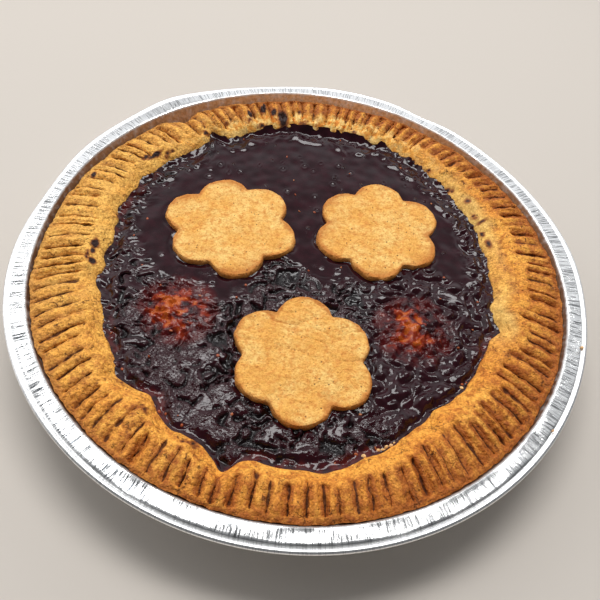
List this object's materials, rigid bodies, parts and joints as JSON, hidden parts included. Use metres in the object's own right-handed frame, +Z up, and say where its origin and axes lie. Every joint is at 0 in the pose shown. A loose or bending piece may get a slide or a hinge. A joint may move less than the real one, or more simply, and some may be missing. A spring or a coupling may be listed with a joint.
{
  "type": "linzer torte",
  "caption": "Round linzer torte in its foil pie tin: fork-marked nut crust, dark berry jam with two mounds, and flower-shaped biscuits lying on the jam.",
  "frame": {"origin": "on the table under the middle of the tin's flat underside", "axes": "+Z up; -Y is the near side in the picture and +X its right"},
  "size_m": [0.2568, 0.2586, 0.0315],
  "materials": {
    "foil": "bright crimped foil",
    "crust": "baked nut shortcrust, matt and crumbly",
    "jam": "glossy set berry jam",
    "biscuit": "baked biscuit, matt with fine specks"
  },
  "bodies": {
    "root": {"foil_tin": "foil", "crust": "crust", "jam": "jam", "biscuit_left": "biscuit", "biscuit_right": "biscuit", "biscuit_front": "biscuit"}
  },
  "joints": []
}
